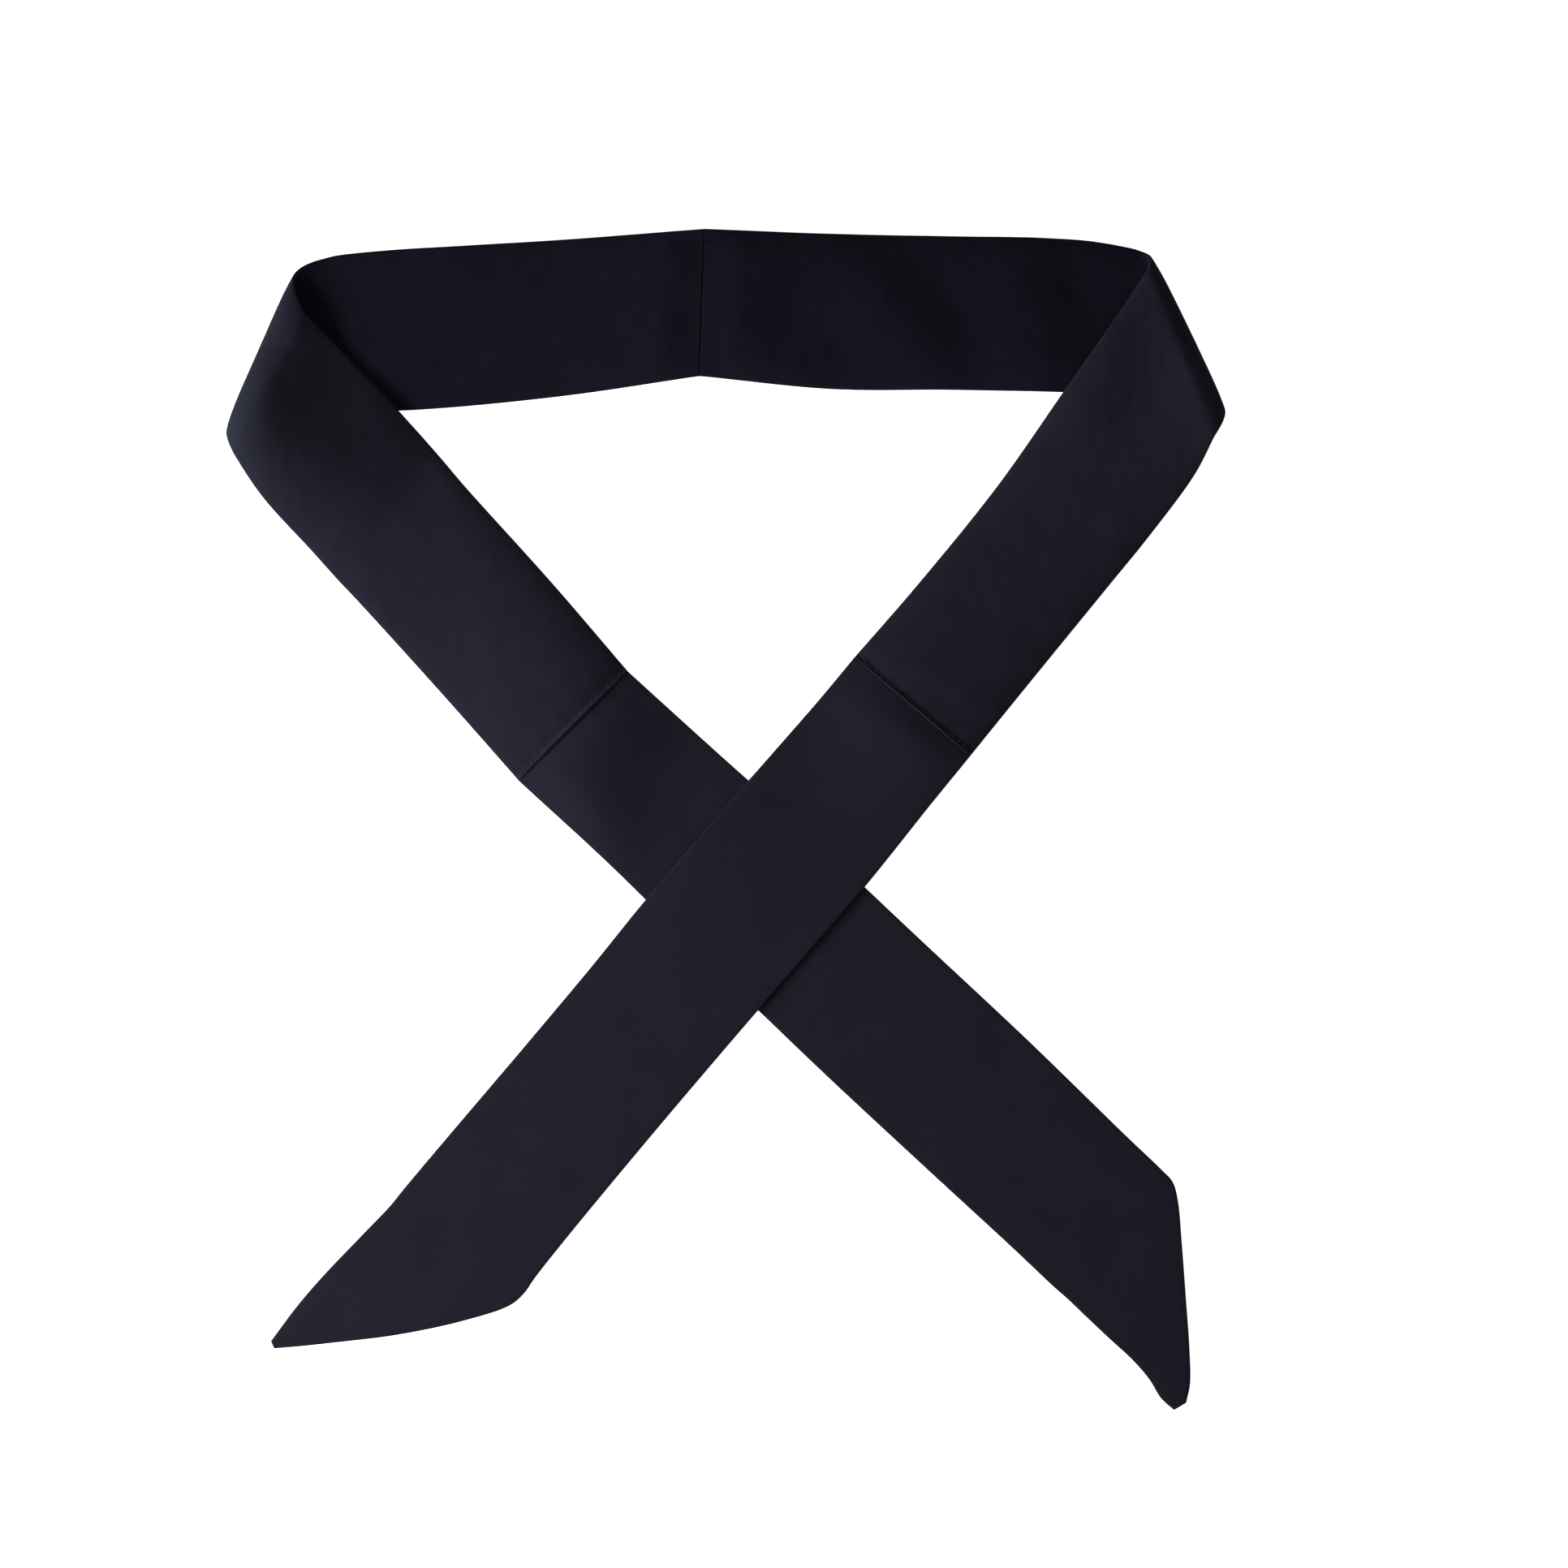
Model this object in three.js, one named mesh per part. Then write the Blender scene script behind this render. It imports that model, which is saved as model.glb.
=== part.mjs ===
// Cooling neck wrap: one long flat strip of dark cloth, folded over twice and laid down with crossed ends.
// The strip is four flat cloth tubes sewn end to end. Two pockets, which hold the cooling crystals, make the
// neck band and turn over at the left and right folds. Two thinner tie ends carry on from them, cross, and
// end in slanted tips.
//
// Millimetres, +Z up. +X is to the right and +Y from the tips towards the neck band. The origin is on the
// table, under the middle of the outline.
//
// The two long edges of the strip are called far and near. In the neck band the far edge is the one at the
// back, away from the tips. Each fold turns the strip over, so in the legs the far edge faces the neck loop.

import * as THREE from "three";

// Thickness of the flat tubes
const POCKET_THICKNESS = 2.6; // two layers of cloth with dry crystals between them
const TIE_THICKNESS = 1.25; // two layers of cloth
const EDGE_THICKNESS = 1; // along both long edges
const SEAM_THICKNESS = 1.3; // where a row of stitches holds the layers down
const SEAM_RAMP = 14; // how far from a seam a pocket reaches its full thickness
const EDGE_ROUNDING = 0.5; // how far in from a long edge the rounding starts
const SEAM_GAP = 0.3; // between two panels that are sewn together
const LAYER_GAP = 0.3; // between two layers that lie on each other

// Fineness of the faceted surfaces
const POCKET_STRIDE = 5.5; // spacing of the sections along a pocket, which has soft folds
const TIE_STRIDE = 8; // spacing along a tie end, which is plain
const FOLD_STEPS = 12; // sections around the half turn of a fold
const COLUMNS = [-0.75, -0.5, -0.25, 0, 0.25, 0.5, 0.75]; // places across one face, near edge to far edge
const SLOPE_STEP = 0.02; // how far apart the slope across is measured, as a share of half the width

// Height of the underside of the tie end that lies on the other one
const OVER_TIE = TIE_THICKNESS + LAYER_GAP;

// The sections of each panel, in order from the centre seam outwards. Each row is one straight line across
// the strip: x and y of its middle, its lean (degrees from +X, seen from the near edge to the far edge), its
// width, and how high the underside lies at the far edge and at the near edge.
const section = (x, y, lean, width, farLift = 0, nearLift = farLift) =>
  ({ x, y, lean, width, farLift, nearLift });

const CENTRE_SEAM = section(-7.5, 167, 88, 47.7);

const LEFT_BAND = [
  section(-51.5, 162.4, 88.5, 50.8),
  section(-91.5, 159.2, 81.5, 53.4),
  section(-117, 158, 73, 55),
];

const LEFT_LEG = [
  section(-136.7, 127.8, 64.5, 54.5, 3.4, 3.3),
  section(-120, 109.6, 59, 53.7, 2.2, 0),
  section(-109, 97.3, 51.5, 52),
  section(-102, 89.4, 47, 50.9),
  section(-74.2, 58.7, 44, 50.6),
];

const LEFT_SEAM = section(-49.1, 29.9, 45, 50.1);

const LEFT_TIE = [
  section(-22.4, 5.5, 45.5, 50.3),
  section(9.5, -24.5, 48, 52.2),
  section(46.3, -59.6, 48, 53),
  section(79.6, -90.7, 47, 52.9),
  section(111.8, -121.2, 46, 51.7),
  section(123.9, -132.7, 46.5, 51.6),
  section(127.9, -136.6, 48, 51),
  section(131.5, -142.4, 50.5, 47.7),
  section(136, -152.7, 52.5, 39),
  section(140.7, -165.6, 49.5, 26.3),
  section(143.9, -176.6, 39, 16.6),
  section(145.8, -185.4, 25.5, 10.5),
  section(147.3, -190.4, 31, 4.6),
];

const RIGHT_BAND = [
  section(35, 164.3, 88, 50.4, 0, 1),
  section(74, 163.8, 93, 50.1, 0, 1.2),
  section(109.5, 163.1, 102, 51.3, 0, 0.6),
  section(126, 162.2, 106, 51.9),
];

const RIGHT_LEG = [
  section(139.4, 137.4, 115.5, 57.5, 3, 3.6),
  section(123.3, 114.9, 120.5, 54.5, 2.2, 0.8),
  section(106, 91.5, 138, 48.5),
  section(80.4, 60, 138.5, 48.3),
];

const RIGHT_SEAM = section(60.3, 36.1, 139.5, 49.3);

const RIGHT_TIE = [
  section(48.5, 21.8, 139.5, 49.5),
  section(26.7, -4.3, 138, 51, OVER_TIE),
  section(-7.6, -44, 136.5, 51, OVER_TIE),
  section(-24.5, -64.3, 136.5, 50.3, 0.9),
  section(-44.6, -88.2, 138, 50.1, 0.3),
  section(-70.2, -118.7, 141.5, 50.6),
  section(-82.6, -133.8, 145, 51.3),
  section(-87.2, -139.8, 147, 51.9),
  section(-91.4, -143.7, 147, 51.2),
  section(-103, -150.3, 145, 43.3),
  section(-118.2, -157.4, 140.5, 30.7),
  section(-131.6, -163.4, 138.5, 18.3),
  section(-141.2, -168.1, 140, 8.6),
  section(-146.8, -170.4, 114, 2.6),
];

// The two folds. A row is the line where the strip leaves the table, how far the roll bulges outwards and how
// high it stands at each long edge, and how far each edge slides along the fold while it goes around.
const LEFT_FOLD = {
  crease: section(-138.3, 156.6, 65, 57.2),
  far: { bulge: 8.6, height: 7, slide: 21.5 },
  near: { bulge: 7, height: 6.5, slide: 15.8 },
  outward: 1,
};

const RIGHT_FOLD = {
  crease: section(142.6, 160.5, 112.3, 52.1),
  far: { bulge: 3, height: 5, slide: 8.4 },
  near: { bulge: 6.3, height: 6.4, slide: 14 },
  outward: -1,
};

// Soft crests in the cloth. Each row is the middle of its line, the line's heading (degrees from +X), how far it
// reaches along its line, how far it spreads to the right and to the left of its heading, how high it lifts the
// cloth, and how rounded its top is, from 0 for a kink to 1.
const crest = (x, y, heading, reach, right, left, rise, roundness) =>
  ({ x, y, heading, reach, right, left, rise, roundness });

const CENTRE_CREST = crest(-7.5, 167, 88, 70, 55, 55, 3.2, 0.6);

const RIGHT_BAND_CRESTS = [
  CENTRE_CREST,
  crest(54, 163, -48, 42, 22, 19, 1.8, 1),
  crest(98, 165, -70, 32, 24, 20, 1.8, 1),
];

const LEFT_SEAM_CRESTS = [
  crest(-48.6, 43.7, 45, 38, 42, 70, 3.6, 1),
  crest(-45, 9, -45, 30, 20, 40, 3.2, 1),
];

const RIGHT_SEAM_CRESTS = [
  crest(60, 25.5, -32, 34, 40, 18, 2.2, 1),
  crest(64, 30, -36, 45, 50, 50, 1.5, 1),
];

const LEFT_LEG_CRESTS = [
  crest(-144.5, 118, 90, 35, 50, 27, 8.2, 1),
  ...LEFT_SEAM_CRESTS,
];

const RIGHT_LEG_CRESTS = [
  crest(118, 153, 49, 36, 30, 9, 4, 1),
  ...RIGHT_SEAM_CRESTS,
];

const RIGHT_TIE_CRESTS = [
  ...RIGHT_SEAM_CRESTS,
  crest(-9, -8, 49, 42, 46, 7, 1.6, 1),
];

// The two ends of a section's line, in space
function edges({ x, y, lean, width, farLift, nearLift }) {
  const angle = THREE.MathUtils.degToRad(lean);
  const reach = new THREE.Vector3(Math.cos(angle), Math.sin(angle), 0).multiplyScalar(width / 2);
  const middle = new THREE.Vector3(x, y, 0);
  return {
    far: middle.clone().add(reach).setZ(farLift),
    near: middle.clone().sub(reach).setZ(nearLift),
  };
}

// The sections of a fold: both edges go round half a turn, outwards by bulge * sin(turn) and up by
// height * (1 - cos(turn)) / 2, while they slide along the crease from the far side to the near side.
function foldSections({ crease, far, near, outward }) {
  const start = edges(crease);
  const along = start.near.clone().sub(start.far).normalize();
  const away = new THREE.Vector3(along.y, -along.x, 0).multiplyScalar(outward);
  const roll = (edge, { bulge, height, slide }, turn) =>
    edge
      .clone()
      .addScaledVector(along, (slide * turn) / Math.PI)
      .addScaledVector(away, bulge * Math.sin(turn))
      .setZ((height * (1 - Math.cos(turn))) / 2);
  return Array.from({ length: FOLD_STEPS + 1 }, (_, step) => {
    const turn = (Math.PI * step) / FOLD_STEPS;
    return {
      far: roll(start.far, far, turn),
      near: roll(start.near, near, turn),
      turned: step / FOLD_STEPS,
    };
  });
}

// A seam's section, drawn back from the seam towards the rest of its panel
function besideSeam(seam, next) {
  const line = edges(seam);
  const inwards = new THREE.Vector3(next.x - seam.x, next.y - seam.y, 0).setLength(SEAM_GAP / 2);
  return { far: line.far.add(inwards), near: line.near.add(inwards) };
}

// Smooth curves along both edges, sampled about every stride, none below the table. A sample also says how far
// it has turned over: 0 before the fold, 1 beyond it.
function sampleEdges(lines, stride) {
  const farCurve = new THREE.CatmullRomCurve3(lines.map((line) => line.far));
  const nearCurve = new THREE.CatmullRomCurve3(lines.map((line) => line.near));
  const places = [];
  const spans = lines.length - 1;
  for (let span = 0; span < spans; span += 1) {
    const { far, near } = lines[span];
    const next = lines[span + 1];
    const length = Math.max(far.distanceTo(next.far), near.distanceTo(next.near));
    const steps = Math.ceil(length / stride);
    for (let step = 0; step < steps; step += 1) {
      places.push((span + step / steps) / spans);
    }
  }
  places.push(1);
  const onTable = (point) => point.setZ(Math.max(0, point.z));
  const turnedAt = (place) => {
    const span = Math.min(Math.floor(place * spans), spans - 1);
    const { turned: from = 0 } = lines[span];
    const { turned: to = from } = lines[span + 1];
    return THREE.MathUtils.smoothstep(THREE.MathUtils.lerp(from, to, place * spans - span), 0, 1);
  };
  return places.map((place) => ({
    far: onTable(farCurve.getPoint(place)),
    near: onTable(nearCurve.getPoint(place)),
    turned: turnedAt(place),
  }));
}

// The places around a section: t runs from -1 at the near edge to 1 at the far edge, and face is 1 on the
// face that looks up in the neck band, -1 on the other face and 0 on the edges themselves.
function placesAround(width) {
  const rounded = 1 - (2 * EDGE_ROUNDING) / Math.max(width, 4 * EDGE_ROUNDING);
  const across = [-rounded, ...COLUMNS.map((t) => t * rounded), rounded];
  return [
    { t: -1, face: 0 },
    ...across.map((t) => ({ t, face: 1 })),
    { t: 1, face: 0 },
    ...across.reverse().map((t) => ({ t, face: -1 })),
  ];
}

// How high soft crests lift the cloth at a place. A crest fades out along its line and to both sides of it, and
// lifts nothing beyond its reach or its spread.
function softRise(crests, { x, y }) {
  return crests.reduce((sum, { x: middleX, y: middleY, heading, reach, right, left, rise, roundness }) => {
    const angle = THREE.MathUtils.degToRad(heading);
    const along = (x - middleX) * Math.cos(angle) + (y - middleY) * Math.sin(angle);
    const beside = (y - middleY) * Math.cos(angle) - (x - middleX) * Math.sin(angle);
    const q = Math.min(1, Math.abs(beside) / (beside < 0 ? right : left));
    const share = Math.max(0, 1 - (along / reach) ** 2) ** 2;
    return sum + rise * share * (1 - q) ** 2 * (1 + 2 * roundness * q);
  }, 0);
}

// How far along the panel each sample lies, measured down its middle
function distancesAlong(samples) {
  const middles = samples.map(({ far, near }) => far.clone().lerp(near, 0.5));
  return middles.reduce(
    (distances, middle, index) =>
      index === 0 ? [0] : [...distances, distances[index - 1] + middle.distanceTo(middles[index - 1])],
    [],
  );
}

// The points around every sample. The underside follows the straight lines between the two edges, lifted by
// one list of crests before the fold and by another one beyond it. Where nothing lifts it, it lies exactly on
// the table. The thickness is measured square to that surface.
function panelPoints(samples, side, thicknessAt, crests, crestsBeyond) {
  const last = samples.length - 1;
  const distances = distancesAlong(samples);
  const cloth = (index, t) => {
    const { far, near, turned } = samples[THREE.MathUtils.clamp(index, 0, last)];
    const point = near.clone().lerp(far, (t + 1) / 2);
    point.z += THREE.MathUtils.lerp(softRise(crests, point), softRise(crestsBeyond, point), turned);
    return point;
  };
  return samples.flatMap(({ far, near }, index) =>
    placesAround(far.distanceTo(near)).map(({ t, face }) => {
      const along = cloth(index + 1, t).sub(cloth(index - 1, t));
      const across = cloth(index, t + SLOPE_STEP).sub(cloth(index, t - SLOPE_STEP));
      const normal = along.cross(across).setLength(side);
      const thickness = thicknessAt(t, distances[index], distances[last]);
      const point = cloth(index, t).addScaledVector(normal, (face * thickness) / 2);
      point.z += thickness / 2;
      return point;
    }),
  );
}

// Triangles between neighbouring sections, and over both ends
function panelTriangles(sections, ring, side) {
  const triangles = [];
  const triangle = (a, b, c) => {
    if (a !== b && b !== c && c !== a) {
      triangles.push(...(side > 0 ? [a, c, b] : [a, b, c]));
    }
  };
  const quad = (a, b, c, d) => {
    triangle(a, b, c);
    triangle(a, c, d);
  };
  for (let row = 0; row < sections - 1; row += 1) {
    const here = row * ring;
    const ahead = here + ring;
    for (let place = 0; place < ring; place += 1) {
      const beside = (place + 1) % ring;
      quad(here + place, here + beside, ahead + beside, ahead + place);
    }
  }
  // Each end is a row of quads from face to face, with a triangle at either edge
  const end = (sections - 1) * ring;
  for (let place = 0; place < ring / 2; place += 1) {
    const opposite = ring - 1 - place;
    const corner = (opposite + 1) % ring;
    quad(corner, opposite, place + 1, place);
    quad(end + place, end + place + 1, end + opposite, end + corner);
  }
  return triangles;
}

// One flat closed tube of cloth through its sections
function panelGeometry(lines, side, stride, thicknessAt, crests, crestsBeyond = []) {
  const samples = sampleEdges(lines, stride);
  const points = panelPoints(samples, side, thicknessAt, crests, crestsBeyond);
  const geometry = new THREE.BufferGeometry().setFromPoints(points);
  geometry.setIndex(panelTriangles(samples.length, points.length / samples.length, side));
  geometry.computeVertexNormals();
  return geometry;
}

// Thickness across a panel: thin along the long edges, full in the middle
const swell = (t, full) => EDGE_THICKNESS + (full - EDGE_THICKNESS) * (1 - 0.3 * t ** 2 - 0.7 * t ** 6);

// A pocket is pinched flat at the seam on each of its ends
function pocketThickness(t, distance, length) {
  const fromSeam = Math.min(distance, length - distance) / SEAM_RAMP;
  const filled = THREE.MathUtils.smoothstep(fromSeam, 0, 1);
  return swell(t, THREE.MathUtils.lerp(SEAM_THICKNESS, POCKET_THICKNESS, filled));
}

const tieThickness = (t) => swell(t, TIE_THICKNESS);

function pocketLines(band, fold, leg, seam) {
  return [
    besideSeam(CENTRE_SEAM, band[0]),
    ...band.map(edges),
    ...foldSections(fold),
    ...[...leg.map(edges), besideSeam(seam, leg[leg.length - 1])].map((line) => ({ ...line, turned: 1 })),
  ];
}

function tieLines(seam, sections) {
  return [besideSeam(seam, sections[0]), ...sections.map(edges)];
}

function clothPanel(name, colour, geometry) {
  const material = new THREE.MeshStandardMaterial({ color: colour, roughness: 0.78, metalness: 0 });
  const panel = new THREE.Mesh(geometry, material);
  panel.name = name;
  return panel;
}

const POCKET_COLOUR = 0x1b1c28;
const TIE_COLOUR = 0x21222d;
const LEFT = -1;
const RIGHT = 1;

const leftPocketLines = pocketLines(LEFT_BAND, LEFT_FOLD, LEFT_LEG, LEFT_SEAM);
const rightPocketLines = pocketLines(RIGHT_BAND, RIGHT_FOLD, RIGHT_LEG, RIGHT_SEAM);
const leftTieLines = tieLines(LEFT_SEAM, LEFT_TIE);
const rightTieLines = tieLines(RIGHT_SEAM, RIGHT_TIE);

const leftPocket = panelGeometry(
  leftPocketLines, LEFT, POCKET_STRIDE, pocketThickness, [CENTRE_CREST], LEFT_LEG_CRESTS,
);
const rightPocket = panelGeometry(
  rightPocketLines, RIGHT, POCKET_STRIDE, pocketThickness, RIGHT_BAND_CRESTS, RIGHT_LEG_CRESTS,
);
const leftTieEnd = panelGeometry(leftTieLines, LEFT, TIE_STRIDE, tieThickness, LEFT_SEAM_CRESTS);
const rightTieEnd = panelGeometry(rightTieLines, RIGHT, TIE_STRIDE, tieThickness, RIGHT_TIE_CRESTS);

const neckWrap = new THREE.Group();
neckWrap.add(
  clothPanel("left_pocket", POCKET_COLOUR, leftPocket),
  clothPanel("right_pocket", POCKET_COLOUR, rightPocket),
  clothPanel("left_tie_end", TIE_COLOUR, leftTieEnd),
  clothPanel("right_tie_end", TIE_COLOUR, rightTieEnd),
);

export default neckWrap;
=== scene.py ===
"""Cooling neck wrap: the sewn cloth strip, its stitches and a plain studio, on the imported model's frame."""

import math

import bpy
import numpy as np
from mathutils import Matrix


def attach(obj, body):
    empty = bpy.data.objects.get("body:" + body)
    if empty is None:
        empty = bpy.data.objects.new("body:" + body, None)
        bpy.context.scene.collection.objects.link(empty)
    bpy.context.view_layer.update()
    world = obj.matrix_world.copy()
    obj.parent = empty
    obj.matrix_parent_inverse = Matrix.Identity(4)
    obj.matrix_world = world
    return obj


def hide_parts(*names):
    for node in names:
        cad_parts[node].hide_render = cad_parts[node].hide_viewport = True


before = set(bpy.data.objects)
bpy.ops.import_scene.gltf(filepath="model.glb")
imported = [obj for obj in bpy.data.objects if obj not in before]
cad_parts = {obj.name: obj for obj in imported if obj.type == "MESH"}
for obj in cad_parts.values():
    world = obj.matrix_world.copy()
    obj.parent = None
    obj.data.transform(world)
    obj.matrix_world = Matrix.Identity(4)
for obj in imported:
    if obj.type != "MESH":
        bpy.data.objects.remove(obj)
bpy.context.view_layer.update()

# Lengths are in millimetres, except where a comment says metres.
MM = 0.001
UP = np.array([0.0, 0.0, 1.0])
LEFT, RIGHT = -1, 1
NO_TRIANGLES = np.zeros((0, 3), int)

# Thicknesses of the flat tubes. From its middle to its edges a pocket thins by a soft share that goes with t^2
# and by a late share that goes with t^6, where t is the place across it.
POCKET_THICKNESS = 2.6
TIE_THICKNESS = 1.25
EDGE_THICKNESS = 1.0
EDGE_ROUNDING = 0.5
SOFT_SHARE = 0.3
LATE_SHARE = 0.7
LAYER_GAP = 0.3
OVER_TIE = TIE_THICKNESS + LAYER_GAP

# Seams: how thick the strip is beside each one, how far from it the tubes reach their full thickness, and how
# their ends are rounded off, down to a share of the thickness
CENTRE_PINCH = 1.15
POCKET_LIP = 1.9
TUCKED_TIE = 0.95
POCKET_RAMP = 14
TIE_RAMP = 9
END_ROUNDING = 0.35
END_SHARE = 0.3

# The lip where a pocket is folded over a tie end, and the groove that its stitches press into the cloth
LIP_WIDTH = 1.5
GROOVE_DEPTH = 0.5
GROOVE_LIP_SIDE = 0.55
GROOVE_POCKET_SIDE = 2.6

# Shallow waves. Columns: height, seed, longest wave, shortest wave. They grow from nothing beside a seam.
POCKET_WAVES = [
    (0.1, 11, 42, 16),
    (0.035, 12, 11, 5),
]
TIE_WAVES = [
    (0.06, 21, 60, 20),
]
WAVE_COUNT = 14
POCKET_WAVE_RAMP = 12
TIE_WAVE_RAMP = 10

# Puckers beside a seam. Columns: height, seed.
CENTRE_PUCKERS = (0.16, 13)
LIP_PUCKERS = (0.2, 14)
TIE_PUCKERS = (0.14, 22)
PUCKER_COUNT = 7
NARROWEST_PUCKER, WIDEST_PUCKER = 4.5, 10
PUCKER_LEAN = 0.35
PUCKER_REACH = 7.0

# Stitches. A thread's first and last rings lie at its taper, as a share of half its length.
STITCH_PITCH = 2.5
STITCH_LENGTH = 2.1
STITCH_MARGIN = 1.2
STITCH_ARCH = 0.16
CENTRE_STITCH_LIFT = 0.5
SIDE_STITCH_LIFT = 1.25
THREAD_RADIUS = 0.17
THREAD_TAPER = 0.97
THREAD_RINGS = 9
THREAD_SIDES = 8

# Grid of each surface. Its rows lie close together beside both ends, and its edge curves are measured in steps
# of a span.
ROW_SPACING = 0.85
FINE_SPACING = 0.2
FINE_REACH = 5.0
COLUMNS_ACROSS = 58
NOSE_STEPS = 4
FOLD_STEPS = 12
CURVE_STEPS = 60
SLOPE_STEP = 0.01

# The sections of the strip, from the centre seam outwards. Columns: x and y of the middle, lean in degrees
# from near edge to far edge, width, and the height of the underside at the far edge and at the near edge.
CENTRE_SEAM = (-7.5, 167, 88, 47.7, 0, 0)
LEFT_BAND = [
    (-51.5, 162.4, 88.5, 50.8, 0, 0),
    (-91.5, 159.2, 81.5, 53.4, 0, 0),
    (-117, 158, 73, 55, 0, 0),
]
LEFT_LEG = [
    (-136.7, 127.8, 64.5, 54.5, 3.4, 3.3),
    (-120, 109.6, 59, 53.7, 2.2, 0),
    (-109, 97.3, 51.5, 52, 0, 0),
    (-102, 89.4, 47, 50.9, 0, 0),
    (-74.2, 58.7, 44, 50.6, 0, 0),
]
LEFT_SEAM = (-49.1, 29.9, 45, 50.1, 0, 0)
LEFT_TIE = [
    (-22.4, 5.5, 45.5, 50.3, 0, 0),
    (9.5, -24.5, 48, 52.2, 0, 0),
    (46.3, -59.6, 48, 53, 0, 0),
    (79.6, -90.7, 47, 52.9, 0, 0),
    (111.8, -121.2, 46, 51.7, 0, 0),
    (123.9, -132.7, 46.5, 51.6, 0, 0),
    (127.9, -136.6, 48, 51, 0, 0),
    (131.5, -142.4, 50.5, 47.7, 0, 0),
    (136, -152.7, 52.5, 39, 0, 0),
    (140.7, -165.6, 49.5, 26.3, 0, 0),
    (143.9, -176.6, 39, 16.6, 0, 0),
    (145.8, -185.4, 25.5, 10.5, 0, 0),
    (147.3, -190.4, 31, 4.6, 0, 0),
]
RIGHT_BAND = [
    (35, 164.3, 88, 50.4, 0, 1),
    (74, 163.8, 93, 50.1, 0, 1.2),
    (109.5, 163.1, 102, 51.3, 0, 0.6),
    (126, 162.2, 106, 51.9, 0, 0),
]
RIGHT_LEG = [
    (139.4, 137.4, 115.5, 57.5, 3, 3.6),
    (123.3, 114.9, 120.5, 54.5, 2.2, 0.8),
    (106, 91.5, 138, 48.5, 0, 0),
    (80.4, 60, 138.5, 48.3, 0, 0),
]
RIGHT_SEAM = (60.3, 36.1, 139.5, 49.3, 0, 0)
RIGHT_TIE = [
    (48.5, 21.8, 139.5, 49.5, 0, 0),
    (26.7, -4.3, 138, 51, OVER_TIE, OVER_TIE),
    (-7.6, -44, 136.5, 51, OVER_TIE, OVER_TIE),
    (-24.5, -64.3, 136.5, 50.3, 0.9, 0.9),
    (-44.6, -88.2, 138, 50.1, 0.3, 0.3),
    (-70.2, -118.7, 141.5, 50.6, 0, 0),
    (-82.6, -133.8, 145, 51.3, 0, 0),
    (-87.2, -139.8, 147, 51.9, 0, 0),
    (-91.4, -143.7, 147, 51.2, 0, 0),
    (-103, -150.3, 145, 43.3, 0, 0),
    (-118.2, -157.4, 140.5, 30.7, 0, 0),
    (-131.6, -163.4, 138.5, 18.3, 0, 0),
    (-141.2, -168.1, 140, 8.6, 0, 0),
    (-146.8, -170.4, 114, 2.6, 0, 0),
]

# The folds: the line where the strip leaves the table, how far the roll bulges outwards and how high it
# stands at the far edge and at the near edge, how far each edge slides along the fold on its way round, and
# the side of the strip's middle that the roll stands on.
LEFT_FOLD = {
    "crease": (-138.3, 156.6, 65, 57.2, 0, 0),
    "bulge": (8.6, 7.0),
    "height": (7, 6.5),
    "slide": (21.5, 15.8),
    "outward": 1,
}
RIGHT_FOLD = {
    "crease": (142.6, 160.5, 112.3, 52.1, 0, 0),
    "bulge": (3.0, 6.3),
    "height": (5.0, 6.4),
    "slide": (8.4, 14.0),
    "outward": -1,
}

# Soft crests. Columns: x and y of the middle, heading of the crest in degrees, how far it reaches along its
# line, how far it spreads to the right and to the left of its heading, how high it lifts the cloth, and how
# rounded its top is, from 0 for a kink to 1.
CENTRE_CREST = (-7.5, 167, 88, 70, 55, 55, 3.2, 0.6)
LEFT_BAND_CRESTS = [CENTRE_CREST]
RIGHT_BAND_CRESTS = [
    CENTRE_CREST,
    (54, 163, -48, 42, 22, 19, 1.8, 1),
    (98, 165, -70, 32, 24, 20, 1.8, 1),
]
LEFT_SEAM_CRESTS = [
    (-48.6, 43.7, 45, 38, 42, 70, 3.6, 1),
    (-45, 9, -45, 30, 20, 40, 3.2, 1),
]
RIGHT_SEAM_CRESTS = [
    (60, 25.5, -32, 34, 40, 18, 2.2, 1),
    (64, 30, -36, 45, 50, 50, 1.5, 1),
]
LEFT_LEG_CRESTS = [
    (-144.5, 118, 90, 35, 50, 27, 8.2, 1),
    *LEFT_SEAM_CRESTS,
]
RIGHT_LEG_CRESTS = [
    (118, 153, 49, 36, 30, 9, 4, 1),
    *RIGHT_SEAM_CRESTS,
]
RIGHT_TIE_CRESTS = [
    *RIGHT_SEAM_CRESTS,
    (-9, -8, 49, 42, 46, 7, 1.6, 1),
]

# Cloth and thread. A spread is the darkest and the lightest share of a colour, and the three parts that vary
# the cloth's colour add up to about one: painted shade in the gaps between the threads of the weave, and
# random tone from two noises. The scales of the noise are in waves a metre.
# The cloth's navy in a shaded and a lit copy: painted shade on the front cloth and painted sheen on the back,
# for the weave catching the light unlike along the band and along the legs.
FRONT_NAVY_WITH_PAINTED_SHADE = (0.006, 0.0063, 0.0107)
BACK_NAVY_WITH_PAINTED_SHEEN = (0.0108, 0.0113, 0.0173)
THREAD_NAVY = (0.018, 0.0185, 0.025)
CLOTH_SPREAD = (0.55, 1.3)
THREAD_SPREAD = (0.6, 1.4)
WEAVE_PITCH = 0.42
WEAVE_DEPTH = 0.05
THREAD_DEPTH = 0.04
THREAD_STRENGTH = 0.5
WEAVE_GAP_SHADE_PART, MOTTLE_PART, SLUB_PART = 0.45, 0.35, 0.3
MOTTLE_SCALE, MOTTLE_DETAIL = 55.0, 4.0
SLUB_SCALE = (140.0, 2600.0, 1.0)
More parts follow.
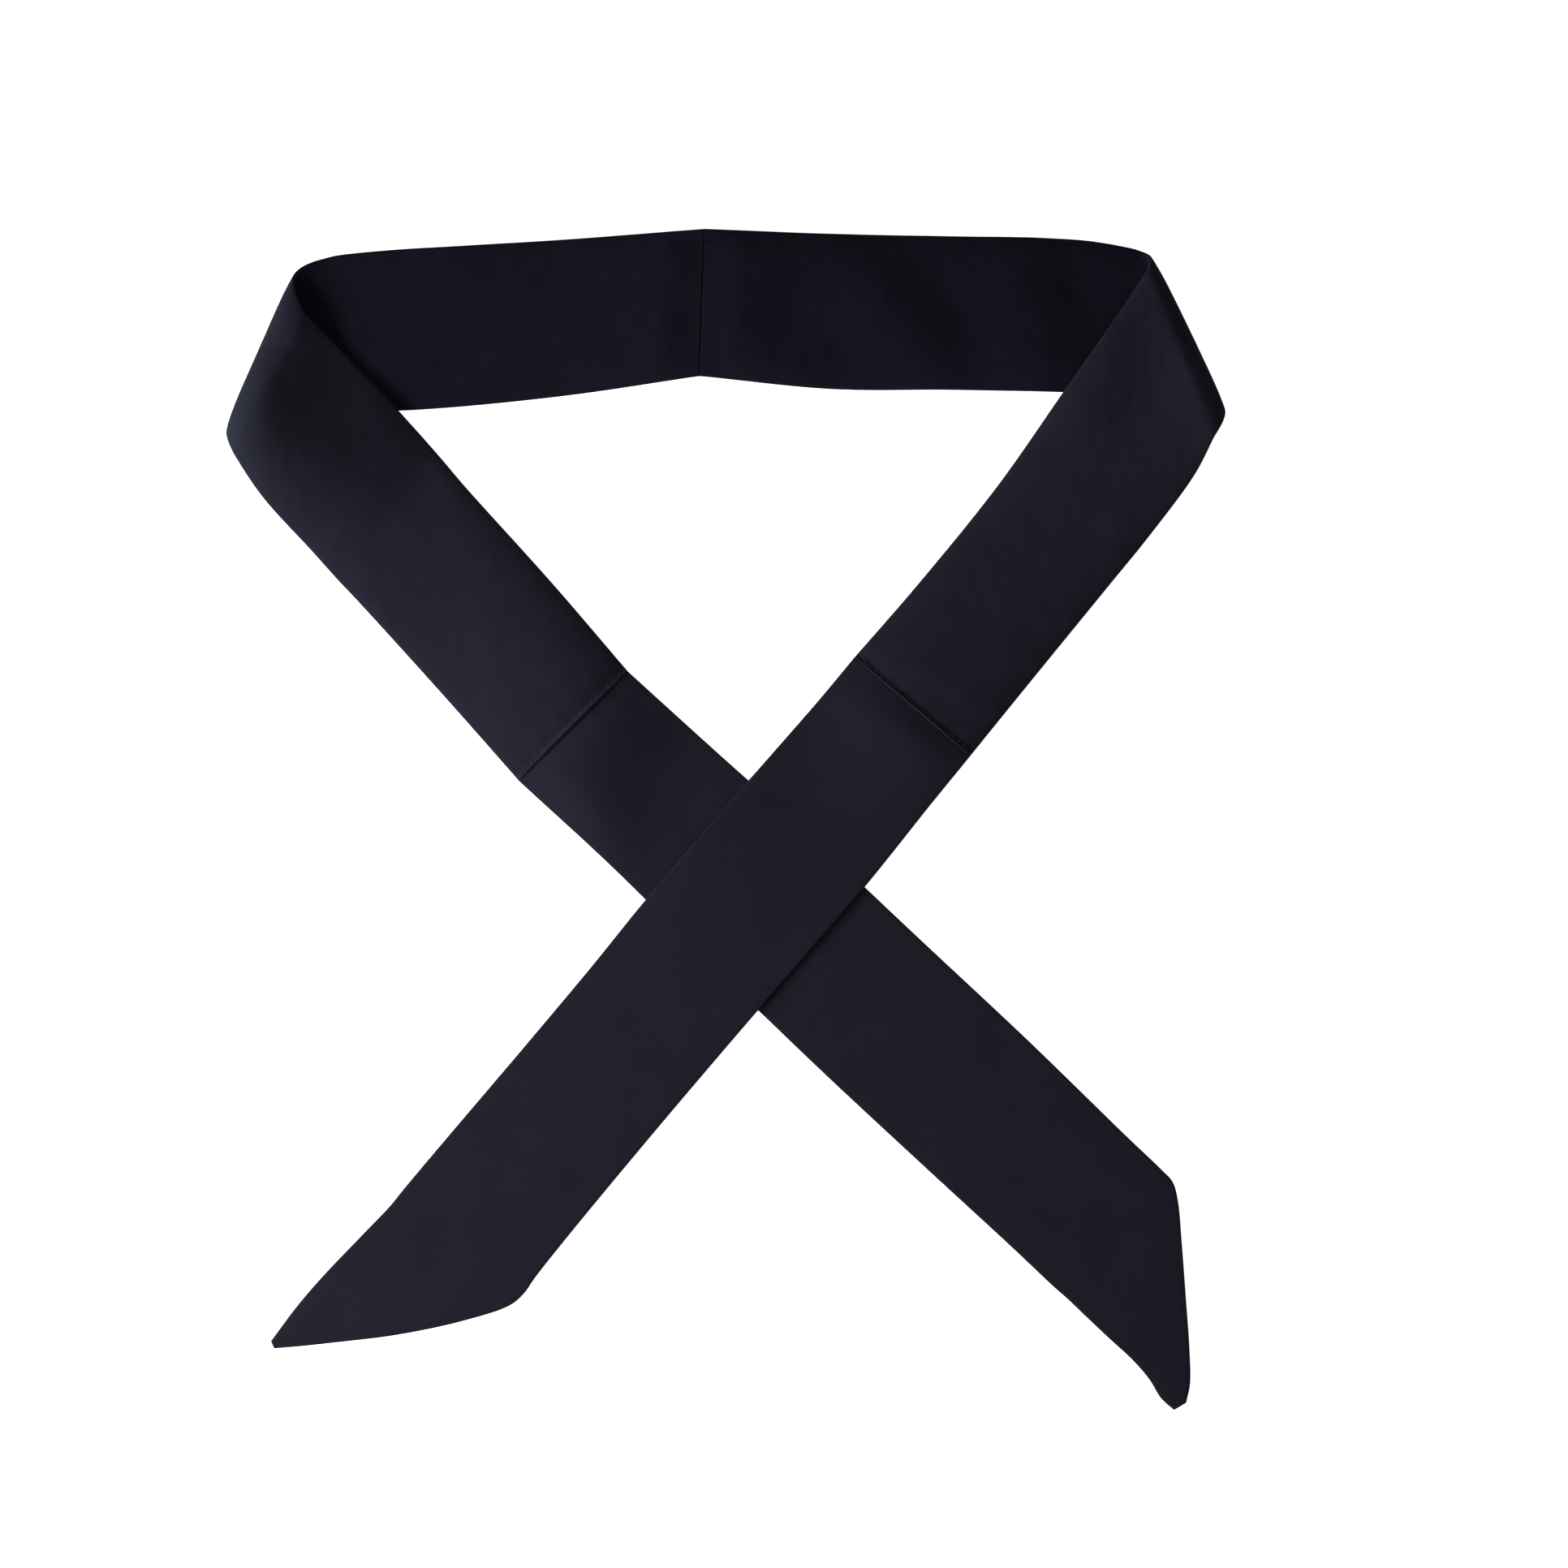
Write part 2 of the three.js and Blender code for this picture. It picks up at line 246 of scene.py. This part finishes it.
SPIN_SCALE = 3000.0
CLOTH_ROUGHNESS = 0.85
THREAD_ROUGHNESS = 0.7
SHEEN = {"Sheen_Weight": 0.015, "Sheen_Roughness": 0.5, "Sheen_Tint": (0.75, 0.83, 1.0, 1.0)}

# The table that the wrap lies on, a little below it so that the two never share a plane
TABLE_REACH = 20000
TABLE_DROP = 0.2
TABLE_SHADE = (0.78, 0.78, 0.785)
TABLE_LIGHT = (0.82, 0.82, 0.82)
TABLE_SCALE = 6.0
TABLE_ROUGHNESS = 0.9
TABLE_GLOW = 0.8

# Camera straight above, with its place in metres
VIEW_CENTRE = (0.01898, 0.01132)
CAMERA_HEIGHT = 1.2
LENS = 85.0
SENSOR_WIDTH = 36.0

# Lights. Columns: name, place, width and height in metres, power in watts.
LIGHTS = [
    ("key_light", (-0.8, -0.18, 0.28), 0.8, 0.5, 24.4),
    ("top_light", (0.2, 0.0, 0.75), 0.4, 0.4, 0.95),
]
SKY_STRENGTH = 0.23
WHITE = (1.0, 1.0, 1.0, 1.0)


# Shapes


def edge_lines(sections):
    """Both ends of each section's line: the middle plus and minus half the width along the lean."""
    x, y, lean, width, far_lift, near_lift = np.array(sections, float).T
    reach_x = np.cos(np.radians(lean)) * width / 2
    reach_y = np.sin(np.radians(lean)) * width / 2
    far = np.stack([x + reach_x, y + reach_y, far_lift], 1)
    near = np.stack([x - reach_x, y - reach_y, near_lift], 1)
    return far, near


def fold_lines(fold):
    """Both edges go round half a turn: outwards by bulge * sin(turn), up by height * (1 - cos(turn)) / 2, and
    along by a share of the slide that grows evenly with the turn."""
    far, near = (line[0] for line in edge_lines([fold["crease"]]))
    along = (near - far) / np.linalg.norm(near - far)
    away = fold["outward"] * np.array([along[1], -along[0], 0.0])
    turn = np.linspace(0, np.pi, FOLD_STEPS + 1)[:, None]

    def roll(edge, bulge, height, slide):
        rise = UP * height * (1 - np.cos(turn)) / 2
        return edge + along * slide * turn / np.pi + away * bulge * np.sin(turn) + rise

    far_shape, near_shape = zip(fold["bulge"], fold["height"], fold["slide"])
    return roll(far, *far_shape), roll(near, *near_shape)


def smooth_curve(points, place):
    """Centripetal Catmull-Rom curve through the points, at places counted in spans from the first point.
    Beyond each end lies the mirror image of the second point in the end point."""
    padded = np.concatenate([[2 * points[0] - points[1]], points, [2 * points[-1] - points[-2]]])
    span = np.clip(np.floor(place).astype(int), 0, len(points) - 2)
    share = (place - span)[:, None]
    before, start, end, after = (padded[span + shift] for shift in range(4))

    def knot(a, b):
        return np.sqrt(np.linalg.norm(b - a, axis=1))[:, None]

    first, middle, last = knot(before, start), knot(start, end), knot(end, after)
    leaving = ((start - before) / first - (end - before) / (first + middle)) * middle + (end - start)
    arriving = (end - start) - ((after - start) / (middle + last) - (after - end) / last) * middle
    cubic = 2 * start - 2 * end + leaving + arriving
    square = -3 * start + 3 * end - 2 * leaving - arriving
    return ((cubic * share + square) * share + leaving) * share + start


def smoothstep(value):
    """0 below 0, 1 above 1, and 3 v^2 - 2 v^3 between."""
    value = np.clip(value, 0, 1)
    return value * value * (3 - 2 * value)


def soft_lift(x, y, crests):
    """Sum over the crests of rise * (1 - (along / reach)^2)^2 * (1 - q)^2 * (1 + 2 * roundness * q), where q
    is the distance beside the crest over its spread. Nothing beyond q = 1 or the reach."""
    lift = np.zeros_like(x)
    for centre_x, centre_y, heading, reach, spread_right, spread_left, rise, roundness in crests:
        run, climb = math.cos(math.radians(heading)), math.sin(math.radians(heading))
        along = (x - centre_x) * run + (y - centre_y) * climb
        beside = (y - centre_y) * run - (x - centre_x) * climb
        q = np.minimum(1, np.abs(beside) / np.where(beside < 0, spread_right, spread_left))
        share = np.maximum(0, 1 - (along / reach) ** 2) ** 2
        lift += rise * share * (1 - q) ** 2 * (1 + 2 * roundness * q)
    return lift


class Panel:
    """One flat tube of cloth between two seams: straight lines joining two smooth edge curves. Soft crests
    lift it, one list of them as far as the fold and another one beyond it."""

    def __init__(self, far, near, side, crests, crease=None, crests_beyond=()):
        self.far, self.near, self.side = far, near, side
        self.crests, self.crease, self.crests_beyond = crests, crease, crests_beyond
        self.last_place = len(far) - 1
        place = np.linspace(0, self.last_place, CURVE_STEPS * self.last_place + 1)
        far_line, near_line = self.edges(place)
        steps = [np.linalg.norm(np.diff(line, axis=0), axis=1) for line in (far_line, near_line)]
        middle = np.linalg.norm(np.diff((far_line + near_line) / 2, axis=0), axis=1)
        self.known_place = place
        self.progress = np.concatenate([[0], np.cumsum(np.maximum(*steps))])
        self.distance = np.concatenate([[0], np.cumsum(middle)])
        self.length = self.distance[-1]

    def edges(self, place):
        """Both edges at these places, with no point below the table."""
        lowest = [-np.inf, -np.inf, 0.0]
        return [np.maximum(smooth_curve(points, place), lowest) for points in (self.far, self.near)]

    def rows(self):
        """Places along the panel: close together beside both ends, evenly spaced between them."""
        total = self.progress[-1]
        fine = np.arange(0, FINE_REACH, FINE_SPACING)
        count = math.ceil((total - 2 * FINE_REACH) / ROW_SPACING)
        middle = np.linspace(FINE_REACH, total - FINE_REACH, count + 1)
        progress = np.concatenate([fine, middle, total - fine[::-1]])
        return np.interp(progress, self.progress, self.known_place)

    def cloth(self, place, across):
        """The sheet that the tube follows: near + (far - near) (t + 1) / 2, lifted by the soft crests."""
        far, near = (line[:, None, :] for line in self.edges(place))
        point = near + (far - near) * (across[..., None] + 1) / 2
        beyond = 0 if self.crease is None else smoothstep((place - self.crease) / FOLD_STEPS)[:, None]
        before_fold = soft_lift(point[..., 0], point[..., 1], self.crests)
        after_fold = soft_lift(point[..., 0], point[..., 1], self.crests_beyond)
        point[..., 2] += before_fold * (1 - beyond) + after_fold * beyond
        return point

    def normals(self, place, across):
        """The cross product of the steps along and across the sheet, at length 1."""
        ahead = self.cloth(np.minimum(place + SLOPE_STEP, self.last_place), across)
        behind = self.cloth(np.maximum(place - SLOPE_STEP, 0), across)
        beside = self.cloth(place, across + SLOPE_STEP) - self.cloth(place, across - SLOPE_STEP)
        normal = np.cross(ahead - behind, beside) * self.side
        return normal / np.linalg.norm(normal, axis=2)[..., None]


def pocket_panel(band, fold, leg, seam, side, band_crests, leg_crests):
    """The edges of a pocket, from the centre seam through its part of the band, its fold and its leg."""
    stretches = [edge_lines([CENTRE_SEAM, *band]), fold_lines(fold), edge_lines([*leg, seam])]
    far, near = (np.concatenate(lines) for lines in zip(*stretches))
    return Panel(far, near, side, band_crests, len(band) + 1, leg_crests)


def tie_panel(seam, sections, side, crests):
    """The edges of a tie end, from its seam to its slanted tip."""
    far, near = edge_lines([seam, *sections])
    return Panel(far, near, side, crests)


# Thickness and relief


def swell(across, full):
    """Thickness across a pocket: that of its edges plus the rest times 1 - soft share t^2 - late share t^6."""
    return EDGE_THICKNESS + (full - EDGE_THICKNESS) * (1 - SOFT_SHARE * across**2 - LATE_SHARE * across**6)


def rounded_end(distance):
    """Share of the thickness that is left beside an end: a quarter circle from the end's share up to 1."""
    share = np.clip(distance / END_ROUNDING, 0, 1)
    return END_SHARE + (1 - END_SHARE) * np.sqrt(1 - (1 - share) ** 2)


def pocket_thickness(across, distance, length):
    """A pocket swells from both seams. Its outer end is a folded lip beside a groove where the stitches sit.
    The groove is depth * exp(-(distance / width)^2), narrow towards the lip and wide towards the pocket."""
    inner = CENTRE_PINCH + (POCKET_THICKNESS - CENTRE_PINCH) * smoothstep(distance / POCKET_RAMP)
    outer = POCKET_LIP + (POCKET_THICKNESS - POCKET_LIP) * smoothstep((length - distance) / POCKET_RAMP)
    from_groove = length - distance - LIP_WIDTH
    groove_width = np.where(from_groove < 0, GROOVE_LIP_SIDE, GROOVE_POCKET_SIDE)
    groove = GROOVE_DEPTH * np.exp(-((from_groove / groove_width) ** 2))
    ends = rounded_end(distance) * rounded_end(length - distance)
    return (swell(across, np.minimum(inner, outer)) - groove) * ends


def tie_thickness(across, distance, length):
    """A tie end starts thin, tucked under the pocket's lip, and is rounded off at its slanted tip. Across it,
    what is thicker than the edges goes with 1 - t^4."""
    full = TUCKED_TIE + (TIE_THICKNESS - TUCKED_TIE) * smoothstep(distance / TIE_RAMP)
    edge = np.minimum(EDGE_THICKNESS, full)
    return (edge + (full - edge) * (1 - across**4)) * rounded_end(length - distance)


def waves(along, across, rows):
    """For each row of a table, a sum of plane waves of random heading and phase, their lengths between the
    two given ones, scaled to about the row's height."""
    total = np.zeros(np.broadcast(along, across).shape)
    for height, seed, longest, shortest in rows:
        draw = np.random.default_rng(seed)
        for _ in range(WAVE_COUNT):
            heading, phase = draw.uniform(0, 2 * np.pi, 2)
            length = draw.uniform(shortest, longest)
            turns = (along * np.cos(heading) + across * np.sin(heading)) / length
            total += height / math.sqrt(WAVE_COUNT) * np.sin(2 * np.pi * turns + phase)
    return total


def puckers(distance, across, height, seed):
    """Small ridges that run away from a seam and fade over a few millimetres: random waves across the strip
    times exp(-distance / reach)."""
    draw = np.random.default_rng(seed)
    total = np.zeros(np.broadcast(distance, across).shape)
    for _ in range(PUCKER_COUNT):
        length = draw.uniform(NARROWEST_PUCKER, WIDEST_PUCKER)
        phase, lean = draw.uniform(0, 2 * np.pi), draw.uniform(-PUCKER_LEAN, PUCKER_LEAN)
        total += np.sin(2 * np.pi * (across + lean * distance) / length + phase)
    return height * total / PUCKER_COUNT * np.exp(-distance / PUCKER_REACH)


def pocket_relief(distance, offset, length):
    """Crystals and creases under the cloth: long and short waves, and puckers beside both seams."""
    to_lip = length - distance
    body = smoothstep(distance / POCKET_WAVE_RAMP) * smoothstep(to_lip / POCKET_WAVE_RAMP)
    gathers = puckers(distance, offset, *CENTRE_PUCKERS) + puckers(to_lip, offset, *LIP_PUCKERS)
    return body * waves(distance, offset, POCKET_WAVES) + gathers


def tie_relief(distance, offset, length):
    """Nearly flat cloth: long shallow waves, and puckers beside the seam."""
    body = smoothstep(distance / TIE_WAVE_RAMP)
    return body * waves(distance, offset, TIE_WAVES) + puckers(distance, offset, *TIE_PUCKERS)


# Meshes


def make_mesh(name, points, quads, triangles, uv=None, front=None):
    """A mesh from arrays: points in millimetres, four-sided and three-sided faces, one UV pair per point, and
    how far each point belongs to the strip's front cloth."""
    mesh = bpy.data.meshes.new(name)
    corners = np.concatenate([quads.ravel(), triangles.ravel()]).astype(np.int32)
    sizes = np.concatenate([np.full(len(quads), 4), np.full(len(triangles), 3)])
    starts = np.concatenate([[0], np.cumsum(sizes)[:-1]]).astype(np.int32)
    mesh.vertices.add(len(points))
    mesh.loops.add(len(corners))
    mesh.polygons.add(len(sizes))
    mesh.vertices.foreach_set("co", (points * MM).astype(np.float32).ravel())
    mesh.loops.foreach_set("vertex_index", corners)
    mesh.polygons.foreach_set("loop_start", starts)
    mesh.polygons.foreach_set("use_smooth", np.ones(len(sizes), bool))
    if uv is not None:
        layer = mesh.uv_layers.new(name="cloth")
        layer.uv.foreach_set("vector", (uv[corners] * MM).astype(np.float32).ravel())
        mesh.attributes.new("front", "FLOAT", "POINT").data.foreach_set("value", front.astype(np.float32))
    mesh.update()
    mesh.validate()
    piece = bpy.data.objects.new(name, mesh)
    bpy.context.scene.collection.objects.link(piece)
    return piece


def ring_places():
    """Places round a section, as (core, nose, face): t = core * rounded + nose * (1 - rounded). They start at
    the middle of the near edge, cross the face that looks up in the neck band, and come back on the other."""
    angle = np.linspace(0, np.pi / 2, NOSE_STEPS + 1)[:-1]
    columns = np.linspace(-1, 1, COLUMNS_ACROSS)
    core = np.concatenate([-np.ones(NOSE_STEPS), columns, np.ones(NOSE_STEPS)])
    nose = np.concatenate([-np.cos(angle), 0 * columns, np.cos(angle[::-1])])
    face = np.concatenate([np.sin(angle), np.ones(COLUMNS_ACROSS), np.sin(angle[::-1])])
    back = slice(-2, 0, -1)
    return (
        np.concatenate([core, core[back]]),
        np.concatenate([nose, nose[back]]),
        np.concatenate([face, -face[back]]),
    )


def ring_faces(rows, ring, side):
    """Quads between neighbouring sections and over both ends, with a triangle at each corner of the ends."""
    row = np.arange(rows - 1)[:, None] * ring
    place = np.arange(ring)[None, :]
    beside = (place + 1) % ring
    walls = np.stack([row + place, row + ring + place, row + ring + beside, row + beside], 2).reshape(-1, 4)
    half = ring // 2
    inner = np.arange(1, half - 1)
    last = (rows - 1) * ring
    start = np.stack([inner, inner + 1, ring - 1 - inner, ring - inner], 1)
    end = np.stack([ring - inner, ring - 1 - inner, inner + 1, inner], 1) + last
    corners = np.array([[0, 1, ring - 1], [half - 1, half, half + 1]])
    quads = np.concatenate([walls, start, end])
    triangles = np.concatenate([corners, corners[:, ::-1] + last])
    if side < 0:
        quads, triangles = quads[:, ::-1], triangles[:, ::-1]
    return quads, triangles


def tube(name, panel, thickness, relief):
    """The closed surface of one tube. A point lies half the thickness above the sheet, plus or minus half the
    thickness along the sheet's normal. The upper side also carries the relief."""
    core, nose, face = ring_places()
    place = panel.rows()
    far, near = panel.edges(place)
    width = np.linalg.norm(far - near, axis=1)[:, None]
    rounded = 1 - 2 * EDGE_ROUNDING / np.maximum(width, 4 * EDGE_ROUNDING)
    across = core * rounded + nose * (1 - rounded)
    distance = np.interp(place, panel.known_place, panel.distance)[:, None]
    offset = across * width / 2
    normal = panel.normals(place, across)
    full = thickness(across, distance, panel.length)
    upper = np.clip(face * normal[..., 2], 0, 1)
    half = face * full / 2 + np.sign(face) * upper * relief(distance, offset, panel.length)
    points = panel.cloth(place, across) + UP * full[..., None] / 2 + normal * half[..., None]
    uv = np.stack(np.broadcast_arrays(distance, offset), 2)
    front = np.broadcast_to((face + 1) / 2, offset.shape)
    quads, triangles = ring_faces(len(place), len(core), panel.side)
    return make_mesh(name, points.reshape(-1, 3), quads, triangles, uv.reshape(-1, 2), front.ravel())


def stitch_row(name, seam, shift, top, crests):
    """A row of short closed threads on a seam's line, moved sideways by the shift and lifted by the crests.
    Each one's middle line is half a sine arch, and its radius is that of the thread times sqrt(1 - x^4)."""
    far, near = (line[0] for line in edge_lines([seam]))
    across = (far - near) / np.linalg.norm(far - near)
    aside = np.cross(UP, across)
    width = np.linalg.norm(far - near) - 2 * STITCH_MARGIN
    count = int(width // STITCH_PITCH)
    first = STITCH_MARGIN + (width - count * STITCH_PITCH) / 2 + (STITCH_PITCH - STITCH_LENGTH) / 2
    step = np.linspace(-THREAD_TAPER, THREAD_TAPER, THREAD_RINGS)
    turn = np.linspace(0, 2 * np.pi, THREAD_SIDES, endpoint=False)
    starts = first + STITCH_PITCH * np.arange(count)
    run = starts[:, None] + (step + 1) / 2 * STITCH_LENGTH
    arch = STITCH_ARCH * np.cos(step * np.pi / 2)
    radius = THREAD_RADIUS * np.sqrt(1 - step**4)
    middle = near + across * run[..., None] + aside * shift + UP * (top + arch)[:, None]
    middle[..., 2] += soft_lift(middle[..., 0], middle[..., 1], crests)
    ring = aside * np.cos(turn)[:, None] + UP * np.sin(turn)[:, None]
    points = middle[:, :, None, :] + ring[None, None] * radius[None, :, None, None]
    return make_mesh(name, points.reshape(-1, 3), stitch_faces(count), NO_TRIANGLES)


def stitch_faces(count):
    """Quads between a thread's neighbouring rings, and over both its ends."""
    first_point = (np.arange(count) * THREAD_RINGS * THREAD_SIDES)[:, None, None]
    ring = first_point + (np.arange(THREAD_RINGS - 1) * THREAD_SIDES)[None, :, None]
    side = np.arange(THREAD_SIDES)
    here, beside = ring + side, ring + (side + 1) % THREAD_SIDES
    walls = np.stack([here, here + THREAD_SIDES, beside + THREAD_SIDES, beside], 3).reshape(-1, 4)
    fan = np.array([[0, corner, corner + 1, corner + 2] for corner in range(1, THREAD_SIDES - 2, 2)])
    ends = np.concatenate([fan, fan[:, ::-1] + (THREAD_RINGS - 1) * THREAD_SIDES])
    caps = (first_point[:, 0, :, None] + ends[None]).reshape(-1, 4)
    return np.concatenate([walls, caps])


# Materials


class Value:
    """A socket in a material. +, - and * with sockets or numbers add Math nodes."""

    def __init__(self, look, socket):
        self.look, self.socket = look, socket

    def math(self, operation, *others):
        """A Math node on this value and the others."""
        return self.look.node("ShaderNodeMath", {"operation": operation}, dict(enumerate((self, *others))))

    def __add__(self, other):
        return self.math("ADD", other)

    def __sub__(self, other):
        return self.math("SUBTRACT", other)

    def __mul__(self, other):
        return self.math("MULTIPLY", other)

    def __rsub__(self, other):
        return self.look.node("ShaderNodeMath", {"operation": "SUBTRACT"}, {0: other, 1: self})

    __radd__, __rmul__ = __add__, __mul__


class Look:
    """A material's nodes."""

    def __init__(self, name):
        self.material = bpy.data.materials.new(name)
        self.material.use_nodes = True
        self.nodes = self.material.node_tree.nodes
        self.links = self.material.node_tree.links
        self.nodes.clear()

    def node(self, kind, settings=None, sockets=None, output=0):
        """Any node: its type, its settings, values or links for its sockets, and the output that is used."""
        made = self.nodes.new(kind)
        for name, value in (settings or {}).items():
            setattr(made, name, value)
        for name, value in (sockets or {}).items():
            if isinstance(value, Value):
                self.links.new(value.socket, made.inputs[name])
            else:
                made.inputs[name].default_value = value
        return Value(self, made.outputs[output]) if made.outputs else made

    def place(self):
        """Object coordinates, in metres."""
        return self.node("ShaderNodeTexCoord", output=3)

    def noise(self, where, scale, detail=2.0):
        """Cloudy noise of about 0 to 1."""
        return self.node("ShaderNodeTexNoise", sockets={"Vector": where, "Scale": scale, "Detail": detail})

    def mix(self, share, first, second):
        """Colour between two others."""
        colours = {"data_type": "RGBA"}
        return self.node("ShaderNodeMix", colours, {"Factor": share, 6: first, 7: second}, output=2)

    def dye_and_painted_shade(self, share, colour, spread):
        """A colour from its darkest to its lightest share."""
        darkest, lightest = ((*(part * strength for part in colour), 1.0) for strength in spread)
        return self.mix(share, darkest, lightest)

    def bump(self, height, depth, strength=1.0):
        """Fine relief: the height times the depth, in metres."""
        sockets = {"Strength": strength, "Distance": depth, "Height": height}
        return self.node("ShaderNodeBump", sockets=sockets)

    def finish(self, **sockets):
        """The material with a closing shader. A _ in a socket's name stands for a space."""
        named = {name.replace("_", " "): value for name, value in sockets.items()}
        shader = self.node("ShaderNodeBsdfPrincipled", sockets=named)
        self.node("ShaderNodeOutputMaterial", sockets={"Surface": shader})
        return self.material


def woven_height(along, across):
    """Plain weave. A thread's profile is 1 - (2 f - 1)^2 of its fraction f across it, times a wave of two
    threads' length along it, in opposite phase on every other thread. The higher of warp and weft shows."""

    def profile(value):
        centred = value.math("FRACT") * 2 - 1
        return 1 - centred * centred

    def wave(value, other):
        phase = (value - 0.5 + other.math("FLOOR")) * math.pi
        return phase.math("COSINE") * 0.5

    warp = profile(across) * (wave(along, across) + 0.5)
    weft = profile(along) * (0.5 - wave(across, along))
    return warp.math("MAXIMUM", weft)


def cloth_look(name):
    """Fine plain weave in dyed cotton, with painted shade on the front cloth of the strip and painted sheen on
    the back:
    the weave's height feeds the bump and paints shade into the gaps between threads, and slow noise varies the
    dye."""
    look = Look(name)
    uv = look.node("ShaderNodeUVMap", {"uv_map": "cloth"})
    pitch = WEAVE_PITCH * MM
    threads = look.node("ShaderNodeVectorMath", {"operation": "SCALE"}, {0: uv, "Scale": 1 / pitch})
    split = look.node("ShaderNodeSeparateXYZ", sockets={0: threads})
    along, across = (Value(look, split.socket.node.outputs[axis]) for axis in ("X", "Y"))
    height = woven_height(along, across)
    mottle = look.noise(look.place(), MOTTLE_SCALE, MOTTLE_DETAIL)
    slub = look.noise(look.node("ShaderNodeMapping", sockets={"Vector": uv, "Scale": SLUB_SCALE}), 1.0)
    # The weave's height paints shade into the gaps between threads; mottle and slub vary the dye at random.
    share = height * WEAVE_GAP_SHADE_PART + mottle * MOTTLE_PART + slub * SLUB_PART
    # Painted shade on the front cloth, which looks up in the neck band, and painted sheen on the back cloth.
    side = look.node("ShaderNodeAttribute", {"attribute_name": "front"}, output=2)
    back, front = (look.dye_and_painted_shade(share, navy, CLOTH_SPREAD) for navy in (BACK_NAVY_WITH_PAINTED_SHEEN, FRONT_NAVY_WITH_PAINTED_SHADE))
    return look.finish(
        Base_Color=look.mix(side, back, front),
        Roughness=CLOTH_ROUGHNESS,
        Specular_IOR_Level=0.0,
        Normal=look.bump(height, WEAVE_DEPTH * MM),
        **SHEEN,
    )


def thread_look(name):
    """Spun thread: fine ridges from noise that also varies the dye."""
    look = Look(name)
    noise = look.noise(look.place(), SPIN_SCALE)
    return look.finish(
        Base_Color=look.dye_and_painted_shade(noise, THREAD_NAVY, THREAD_SPREAD),
        Roughness=THREAD_ROUGHNESS,
        Specular_IOR_Level=0.0,
        Normal=look.bump(noise, THREAD_DEPTH * MM, THREAD_STRENGTH),
    )


def table_look(name):
    """A pale light table with a trace of unevenness."""
    look = Look(name)
    tint = look.mix(look.noise(look.place(), TABLE_SCALE), (*TABLE_SHADE, 1.0), (*TABLE_LIGHT, 1.0))
    glow = {"Emission_Color": WHITE, "Emission_Strength": TABLE_GLOW}
    return look.finish(Base_Color=tint, Roughness=TABLE_ROUGHNESS, Specular_IOR_Level=0.0, **glow)


def soft_box(name, place, width, height, power):
    """A white area light that looks from its place at the middle of the table."""
    data = bpy.data.lights.new(name, "AREA")
    data.shape = "RECTANGLE"
    data.size = width
    data.size_y = height
    data.energy = power
    light = bpy.data.objects.new(name, data)
    light.location = place
    x, y, z = place
    light.rotation_euler = (math.atan2(math.hypot(x, y), z), 0, math.atan2(x, -y))
    bpy.context.scene.collection.objects.link(light)


# Camera

camera_data = bpy.data.cameras.new("camera")
camera_data.lens = LENS
camera_data.sensor_width = SENSOR_WIDTH
camera = bpy.data.objects.new("camera", camera_data)
camera.location = (*VIEW_CENTRE, CAMERA_HEIGHT)
bpy.context.scene.collection.objects.link(camera)
bpy.context.scene.camera = camera

# The strip

cotton = cloth_look("navy_cotton_cloth")
thread = thread_look("navy_thread")

left_pocket_panel = pocket_panel(
    LEFT_BAND, LEFT_FOLD, LEFT_LEG, LEFT_SEAM, LEFT, LEFT_BAND_CRESTS, LEFT_LEG_CRESTS
)
right_pocket_panel = pocket_panel(
    RIGHT_BAND, RIGHT_FOLD, RIGHT_LEG, RIGHT_SEAM, RIGHT, RIGHT_BAND_CRESTS, RIGHT_LEG_CRESTS
)
left_tie_panel = tie_panel(LEFT_SEAM, LEFT_TIE, LEFT, LEFT_SEAM_CRESTS)
right_tie_panel = tie_panel(RIGHT_SEAM, RIGHT_TIE, RIGHT, RIGHT_TIE_CRESTS)

left_pocket = tube("left_pocket_cloth", left_pocket_panel, pocket_thickness, pocket_relief)
right_pocket = tube("right_pocket_cloth", right_pocket_panel, pocket_thickness, pocket_relief)
left_tie = tube("left_tie_cloth", left_tie_panel, tie_thickness, tie_relief)
right_tie = tube("right_tie_cloth", right_tie_panel, tie_thickness, tie_relief)

for piece, node in (
    (left_pocket, "left_pocket"),
    (right_pocket, "right_pocket"),
    (left_tie, "left_tie_end"),
    (right_tie, "right_tie_end"),
):
    piece.data.materials.append(cotton)
    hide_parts(node)
    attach(piece, "root")

# The stitches

for name, seam, shift, lift, crests in (
    ("centre_seam_stitches", CENTRE_SEAM, 0, CENTRE_STITCH_LIFT, [CENTRE_CREST]),
    ("left_seam_stitches", LEFT_SEAM, LIP_WIDTH, SIDE_STITCH_LIFT, LEFT_SEAM_CRESTS),
    ("right_seam_stitches", RIGHT_SEAM, -LIP_WIDTH, SIDE_STITCH_LIFT, RIGHT_SEAM_CRESTS),
):
    piece = stitch_row(name, seam, shift, lift, crests)
    piece.data.materials.append(thread)
    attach(piece, "root")

# The table

table_corners = TABLE_REACH * np.array([[-1, -1, 0], [1, -1, 0], [1, 1, 0], [-1, 1, 0]], float)
table = make_mesh("floor", table_corners - TABLE_DROP * UP, np.array([[0, 1, 2, 3]]), NO_TRIANGLES)
table.data.materials.append(table_look("pale_paper"))

# The lights

for row in LIGHTS:
    soft_box(*row)

world = bpy.data.worlds.new("studio")
world.use_nodes = True
background = world.node_tree.nodes["Background"].inputs
background["Color"].default_value = WHITE
background["Strength"].default_value = SKY_STRENGTH
bpy.context.scene.world = world
bpy.context.scene.view_settings.view_transform = "Standard"
